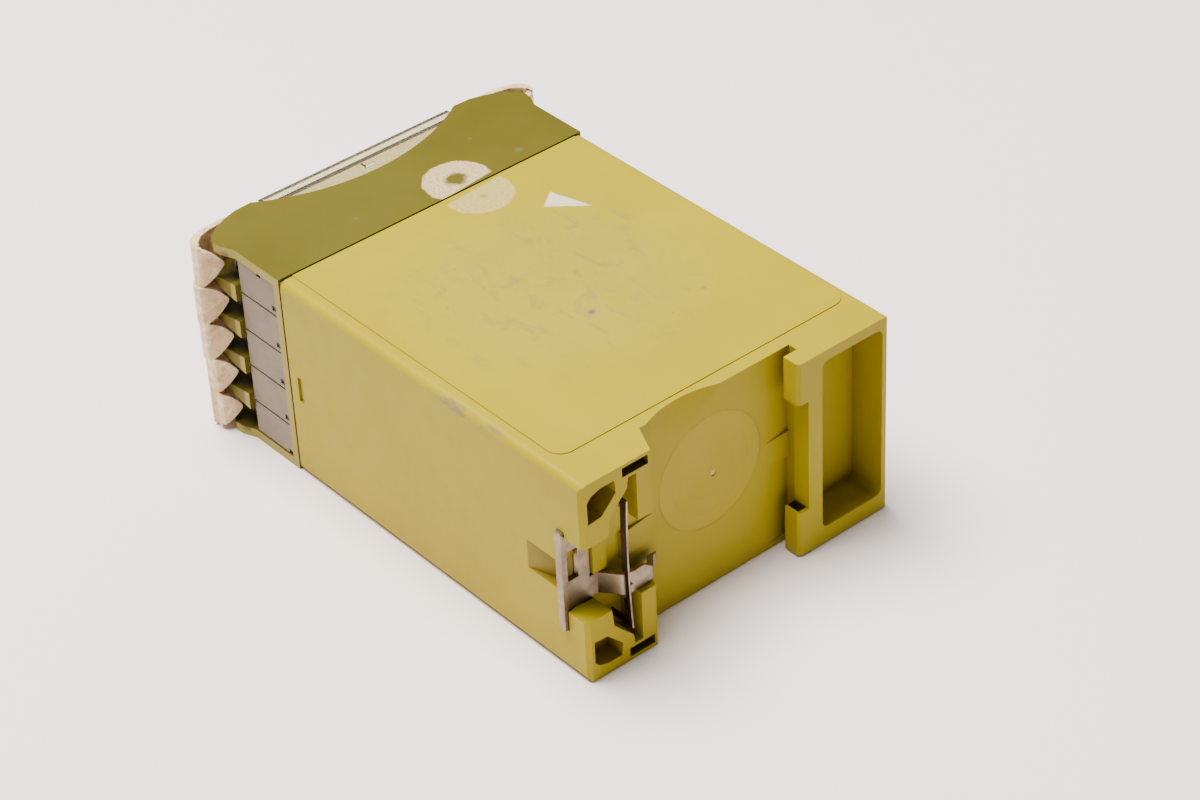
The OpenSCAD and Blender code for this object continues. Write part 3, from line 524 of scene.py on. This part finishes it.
YELLOW = (0.335, 0.262, 0.001)
YELLOW_PALE = (0.365, 0.287, 0.002)
OLIVE = (0.092, 0.076, 0.006)
OLIVE_PALE = (0.11, 0.091, 0.01)
MAT = {
    "yellow": moulded("yellow_housing", YELLOW, YELLOW_PALE, (0.26, 0.17, 0.03), 0.4, 0.55, yellow_marks),
    "olive": moulded("olive_front", OLIVE, OLIVE_PALE, (0.1, 0.085, 0.02), 0.38, 0.5, olive_marks),
    "plate": moulded("dial_plate", (0.1, 0.1, 0.035), (0.13, 0.13, 0.05), (0.04, 0.035, 0.02), 0.45, 0.4),
    "grey": moulded("grey_block", (0.2, 0.16, 0.115), (0.26, 0.205, 0.15), (0.09, 0.06, 0.045), 0.55, 0.8,
                    grey_marks),
    "guard": guard_plastic(),
    "clear": clear_plastic("clear_lid", (0.76, 0.7, 0.46), 0.2, (0.42, 0.36, 0.18)),
    "relay_clear": clear_plastic("relay_cap", (0.82, 0.88, 0.9), 0.12),
    "screw": metal("zinc_screw", (0.62, 0.6, 0.56), (0.42, 0.36, 0.28), 0.24, rust=0.35, thread=True),
    "clamp": metal("clamp_steel", (0.58, 0.55, 0.5), (0.4, 0.34, 0.27), 0.3, rust=0.3),
    "latch": metal("latch_steel", (0.29, 0.225, 0.145), (0.2, 0.15, 0.11), 0.26, rust=0.3),
    "spring": spring_steel(),
    "brass": metal("contact_brass", (0.72, 0.55, 0.28), (0.46, 0.32, 0.15), 0.25),
    "steel": metal("soft_iron", (0.52, 0.5, 0.47), (0.38, 0.34, 0.3), 0.3, rust=0.15),
    "alu": metal("turned_alloy", (0.66, 0.66, 0.68), (0.5, 0.5, 0.5), 0.2, (1, 0.05, 1)),
    "board": board_material(),
    "winding": winding_material("transformer_wire", (0.62, 0.25, 0.08), True),
    "coil": winding_material("coil_wire", (0.55, 0.2, 0.06), False),
    "core": laminated_steel(),
    "black": moulded("black_moulding", (0.022, 0.021, 0.02), (0.034, 0.032, 0.03), (0.07, 0.062, 0.05),
                     0.4, 0.3),
    "chip": moulded("chip_epoxy", (0.014, 0.014, 0.015), (0.024, 0.024, 0.026), (0.06, 0.055, 0.05),
                    0.5, 0.3),
    "can": glossy("capacitor_sleeve", (0.012, 0.02, 0.07), (0.02, 0.032, 0.1), 0.2),
    "resistor": banded("resistor_lacquer", (0.5, 0.33, 0.15),
                       [(-66.6, (0.3, 0.02, 0.01)), (-67.9, (0.02, 0.02, 0.02)), (-69.2, (0.5, 0.16, 0.01)),
                        (-70.8, (0.42, 0.3, 0.06))], 1, 0.28),
    "diode": banded("diode_epoxy", (0.018, 0.018, 0.02), [(27.7, (0.55, 0.55, 0.53))], 0, 0.35),
    "pot": glossy("pot_body", (0.03, 0.075, 0.16), (0.05, 0.1, 0.2), 0.32),
    "switch": moulded("switch_body", (0.08, 0.085, 0.095), (0.11, 0.115, 0.125), (0.03, 0.03, 0.03),
                      0.42, 0.3),
    "white_shaft": moulded("nylon_shaft", (0.62, 0.6, 0.5), (0.7, 0.68, 0.58), (0.3, 0.27, 0.2), 0.4, 0.4),
    "lamp": glossy("lamp_lens", (0.55, 0.02, 0.015), (0.65, 0.04, 0.02), 0.1, Transmission_Weight=0.5),
    "solder": metal("solder", (0.6, 0.6, 0.62), (0.45, 0.45, 0.46), 0.25, (1, 1, 1)),
    "ink": glossy("dial_ink", (0.75, 0.74, 0.66), (0.68, 0.66, 0.56), 0.5),
}

FINISH = {
    "main_housing": "yellow", "front_frame": "olive", "front_plate": "plate", "front_cover": "clear",
    "rail_latch": "latch", "latch_spring": "spring", "transformer_core": "core",
    "transformer_bobbin": "black", "transformer_winding": "winding", "relay_base": "black",
    "relay_coil": "coil", "relay_yoke": "steel", "relay_armature": "steel", "relay_contacts": "brass",
    "relay_cover": "relay_clear", "capacitors": "can", "chips": "chip", "resistors": "resistor",
    "diodes": "diode", "time_pot": "pot", "time_shaft": "alu", "time_knob": "black",
    "range_switch": "switch", "range_shaft": "white_shaft", "range_knob": "black",
    "indicator_lamps": "lamp", "link_pins": "brass",
}
GROUPS = {"terminal_block": "grey", "terminal_cover": "guard", "contacts": "brass", "screw": "screw",
          "clamp": "clamp", "main_board": "board", "relay_board": "board", "front_board": "board",
          "terminal_board": "board"}
SOFT_EDGE = {"main_housing": 0.35, "front_frame": 0.28, "front_cover": 0.25, "terminal_cover": 0.3,
             "rail_latch": 0.18, "time_knob": 0.25, "range_knob": 0.25, "terminal_block": 0.18}


def soften(obj, width_mm):
    """Rounds the CAD edges for the eye only; the mesh itself is untouched."""
    weld = obj.modifiers.new("weld", "WELD")
    weld.merge_threshold = 1e-6
    flat = obj.modifiers.new("flat", "DECIMATE")
    flat.decimate_type = "DISSOLVE"
    flat.angle_limit = math.radians(0.6)
    bev = obj.modifiers.new("edge", "BEVEL")
    bev.width = width_mm * MM
    bev.segments = 2
    bev.limit_method = "ANGLE"
    bev.angle_limit = math.radians(32)
    bev.harden_normals = True
    bev.use_clamp_overlap = True
    obj.modifiers.new("normals", "WEIGHTED_NORMAL").keep_sharp = False


for name, obj in NODES.items():
    key = FINISH.get(name) or next(v for k, v in GROUPS.items() if name.startswith(k))
    obj.data.materials.clear()
    obj.data.materials.append(MAT[key])
    width = next((w for k, w in SOFT_EDGE.items() if name.startswith(k)), 0.08)
    soften(obj, width)


# ---------- small fittings ----------

def mesh_piece(name, body, key, fill):
    """A new piece from a bmesh in millimetres, riding on a body."""
    bm = bmesh.new()
    fill(bm)
    bmesh.ops.scale(bm, vec=(MM, MM, MM), verts=bm.verts)
    bmesh.ops.recalc_face_normals(bm, faces=bm.faces)
    mesh = bpy.data.meshes.new(name)
    bm.to_mesh(mesh)
    bm.free()
    mesh.materials.append(MAT[key])
    obj = bpy.data.objects.new(name, mesh)
    bpy.context.scene.collection.objects.link(obj)
    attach(obj, body)


def add_box(bm, centre, size, turn=0.0, about=None):
    """A box; turn is an angle about the Y line through `about` (x, z)."""
    made = bmesh.ops.create_cube(bm, size=1.0)["verts"]
    bmesh.ops.scale(bm, vec=size, verts=made)
    bmesh.ops.translate(bm, vec=centre, verts=made)
    if turn:
        pivot = Vector((about[0], 0, about[1]))
        bmesh.ops.rotate(bm, cent=pivot, matrix=Matrix.Rotation(turn, 3, "Y"), verts=made)


def add_cone(bm, base, tip, r_base, r_tip, sides=16):
    """A closed cone frustum from base to tip."""
    start, end = Vector(base), Vector(tip)
    axis = end - start
    spin = axis.to_track_quat("Z", "Y").to_matrix().to_4x4()
    bmesh.ops.create_cone(bm, cap_ends=True, segments=sides, radius1=r_base, radius2=r_tip,
                          depth=axis.length, matrix=Matrix.Translation((start + end) / 2) @ spin)


# dial plate, centres (x, z), radii and front faces of the two dials, all as in the CAD part
PLATE_Y = -99.2
TIME_AT = (-5.0, 0.0)
RANGE_AT = (14.5, -10.0)
TIME_R = 9.5
RANGE_R = 5.5
TIME_FACE_Y = -105.5
RANGE_FACE_Y = -104.7
# turn of each dial, and the distance of its marks from its centre
TIME_SWEEP = 270
RANGE_SWEEP = 210
TICK_FROM = 10.3
DOT_AT = 7.0
NUMBER_AT = 13.6
INK_T = 0.06


def dial_ticks(bm):
    """Scale round the time dial, and five dots round the range dial, each ending at the dial's rest."""
    for i in range(51):
        angle = math.radians(-TIME_SWEEP + i * TIME_SWEEP / 50)
        long = i % 5 == 0
        reach = 1.7 if long else 0.9
        add_box(bm, (TIME_AT[0], PLATE_Y - INK_T / 2, TIME_AT[1] + TICK_FROM + reach / 2),
                (0.3 if long else 0.16, INK_T, reach), angle, TIME_AT)
    for i in range(5):
        angle = math.radians(-RANGE_SWEEP + i * RANGE_SWEEP / 4)
        x = RANGE_AT[0] + math.sin(angle) * DOT_AT
        z = RANGE_AT[1] + math.cos(angle) * DOT_AT
        add_cone(bm, (x, PLATE_Y, z), (x, PLATE_Y - INK_T, z), 0.45, 0.45)


def dial_number(text, x, z, height):
    """A flat printed number on the dial plate."""
    curve = bpy.data.curves.new("digits", "FONT")
    curve.body = text
    curve.size = height
    curve.align_x = "CENTER"
    curve.align_y = "CENTER"
    curve.extrude = 0.025
    holder = bpy.data.objects.new("digits", curve)
    bpy.context.scene.collection.objects.link(holder)
    bpy.context.view_layer.update()
    mesh = bpy.data.meshes.new_from_object(holder.evaluated_get(bpy.context.evaluated_depsgraph_get()))
    bpy.data.objects.remove(holder)
    bpy.data.curves.remove(curve)
    # upright once the timer hangs on its rail, with the latch end down
    flat = Matrix(((0, -1, 0, x), (0, 0, -1, PLATE_Y - 0.03), (1, 0, 0, z), (0, 0, 0, 1)))
    mesh.transform(flat)
    return mesh


def dial_numbers(bm):
    """Even numbers from 0 to 10, which is where the dial stands at rest."""
    for i in range(6):
        angle = math.radians(-TIME_SWEEP + i * TIME_SWEEP / 5)
        x = TIME_AT[0] + math.sin(angle) * NUMBER_AT
        z = TIME_AT[1] + math.cos(angle) * NUMBER_AT
        mesh = dial_number(str(i * 2), x, z, 2.3)
        bm.from_mesh(mesh)
        bpy.data.meshes.remove(mesh)


def pointer(bm, at, radius, face_y):
    """Inlaid line in the groove of a dial."""
    add_box(bm, (at[0], face_y + 0.17, at[1] + radius * 0.55), (0.62, 0.22, radius * 0.74))


mesh_piece("dial_scale", "housing", "ink", dial_ticks)
mesh_piece("dial_numbers", "housing", "ink", dial_numbers)
mesh_piece("time_pointer", "time_dial", "ink", lambda bm: pointer(bm, TIME_AT, TIME_R, TIME_FACE_Y))
mesh_piece("range_pointer", "range_dial", "ink", lambda bm: pointer(bm, RANGE_AT, RANGE_R, RANGE_FACE_Y))


def solder_row(points, normal):
    """Small fillets of solder round the pins of a board."""
    def fill(bm):
        for x, y, z in points:
            height = rng.uniform(0.55, 0.8)
            add_cone(bm, (x, y, z), (x, y, z + normal * height * 0.45), 0.85, 0.5)
            add_cone(bm, (x, y, z + normal * height * 0.45), (x, y, z + normal * height), 0.5, 0.22)
    return fill


# height of the two long boards, half their thickness, and the spacing of a chip's legs
BOARD_Z = 16.5
BOARD_HALF = 0.8
LEG_PITCH = 2.54
relay_feet = [(RELAY_AT[0] + x, RELAY_AT[1] + y) for x in (-11, -4, 4, 11) for y in (-8, 8)]
can_feet = [(x + s, -62) for x in (-8, 6, 18) for s in (-1.27, 1.27)]
coil_feet = [(TRANSFORMER_AT[0] + i * 3.5, TRANSFORMER_AT[1] + s * 11.4)
             for i in range(-2, 3) for s in (-1, 1)]
mesh_piece("solder_main", "housing", "solder",
           solder_row([(x, y, -BOARD_Z - BOARD_HALF) for x, y in relay_feet + can_feet + coil_feet], -1))
chip_feet = []
for cx, cy, length in ((-24, -28, 19), (-24, -50, 10), (2, -50, 19)):
    for i in range(int(length / LEG_PITCH)):
        for side in (-1, 1):
            chip_feet.append((cx - length / 2 + 1.4 + i * LEG_PITCH, cy + side * 3.5))
lead_feet = [(-12 + i * 4, -68.5 + s * 4.6) for i in range(7) for s in (-1, 1)]
lead_feet += [(26 + s * 4.3, -50 + i * 6) for i in range(4) for s in (-1, 1)]
mesh_piece("solder_relay", "housing", "solder",
           solder_row([(x, y, BOARD_Z + BOARD_HALF) for x, y in chip_feet + lead_feet], 1))


def lead_legs(bm):
    """Bent legs that carry the resistors and diodes down to their board."""
    for x, y in lead_feet:
        top = BOARD_Z - (2.3 if y < -60 else 2.6)
        add_cone(bm, (x, y, top), (x, y, BOARD_Z - BOARD_HALF), 0.3, 0.3, 10)


mesh_piece("component_legs", "housing", "solder", lead_legs)


def coil_leads(bm):
    """Two wires from the transformer winding to its pins, and two from the relay coil."""
    for s in (-1, 1):
        x, y = TRANSFORMER_AT[0] + s * 7, TRANSFORMER_AT[1]
        add_cone(bm, (x, y + s * 10.4, -12.6), (x, y + s * 11.4, -15.0), 0.35, 0.35, 10)
        y = RELAY_AT[1]
        add_cone(bm, (-23, y + s * 4.9, -8.2), (-29, y + s * 8, -13.4), 0.22, 0.22, 8)


mesh_piece("coil_leads", "housing", "winding", coil_leads)


# ---------- floor, light, camera ----------

# metres; the camera's azimuth, elevation and roll in degrees and its lens were fitted to the photograph
FLOOR_HALF = 3.0
CAMERA_AT = (0.32016, 0.36226, 0.37946)
CAMERA_TURN = (141.02, 36.64, -2.95)
CAMERA_LENS = 100.83
LOOK_AT = (0, -0.04, 0)


def floor_piece(z):
    """Plain pale table at height z, the underside of the part."""
    mesh = bpy.data.meshes.new("floor")
    bm = bmesh.new()
    for x, y in ((-FLOOR_HALF, -FLOOR_HALF), (FLOOR_HALF, -FLOOR_HALF),
                 (FLOOR_HALF, FLOOR_HALF), (-FLOOR_HALF, FLOOR_HALF)):
        bm.verts.new((x, y, z))
    bm.faces.new(bm.verts)
    bm.to_mesh(mesh)
    bm.free()
    obj = bpy.data.objects.new("floor", mesh)
    bpy.context.scene.collection.objects.link(obj)
    g = Graph("paper_floor")
    soft = g.noise(0.004, 3, 0.5)
    colour = g.mix(g.ramp(soft, 0.3, 0.7), (0.985, 0.9, 0.885), (0.96, 0.87, 0.852))
    # painted bounce light and shadow from the yellow housing, tinting the table beside it
    bounce_tint = g.disc(60, -50, 50, 45)
    colour = g.mix(g.mul(bounce_tint, 0.5), colour, (0.93, 0.79, 0.68))
    obj.data.materials.append(g.shader(Base_Color=colour, Roughness=0.7,
                                       Normal=g.bump(g.noise(0.5, 4), 0.05, 0.05)))


def area_light(name, where, target, size, power, colour):
    """Round lamp at `where`, turned to `target`, in metres and watts."""
    data = bpy.data.lights.new(name, "AREA")
    data.shape = "DISK"
    data.size = size
    data.energy = power
    data.color = colour
    obj = bpy.data.objects.new(name, data)
    obj.location = where
    obj.rotation_euler = (Vector(target) - Vector(where)).to_track_quat("-Z", "Y").to_euler()
    bpy.context.scene.collection.objects.link(obj)


def add_camera():
    """Camera at the photograph's angle."""
    az, el, roll = (math.radians(v) for v in CAMERA_TURN)
    back = Vector((math.sin(az) * math.cos(el), -math.cos(az) * math.cos(el), math.sin(el)))
    side = Vector((math.cos(az), math.sin(az), 0))
    up = back.cross(side)
    right = side * math.cos(roll) + up * math.sin(roll)
    above = up * math.cos(roll) - side * math.sin(roll)
    data = bpy.data.cameras.new("view")
    data.sensor_width = 36
    data.lens = CAMERA_LENS
    data.clip_start = 0.01
    obj = bpy.data.objects.new("view", data)
    rot = Matrix((right, above, back)).transposed().to_4x4()
    obj.matrix_world = Matrix.Translation(Vector(CAMERA_AT)) @ rot
    bpy.context.scene.collection.objects.link(obj)
    bpy.context.scene.camera = obj


floor_piece(CAD_BOX[0][2])
world = bpy.data.worlds.new("studio")
world.use_nodes = True
sky = world.node_tree.nodes["Background"].inputs
sky["Color"].default_value = (1.0, 0.955, 0.945, 1)
sky["Strength"].default_value = 0.26
bpy.context.scene.world = world
area_light("key", (0.14, -0.3, 1.1), LOOK_AT, 0.8, 46, (1.0, 0.98, 0.95))
area_light("fill", (1.1, 0.0, 0.5), LOOK_AT, 0.9, 0.5, (1.0, 0.98, 0.96))
add_camera()
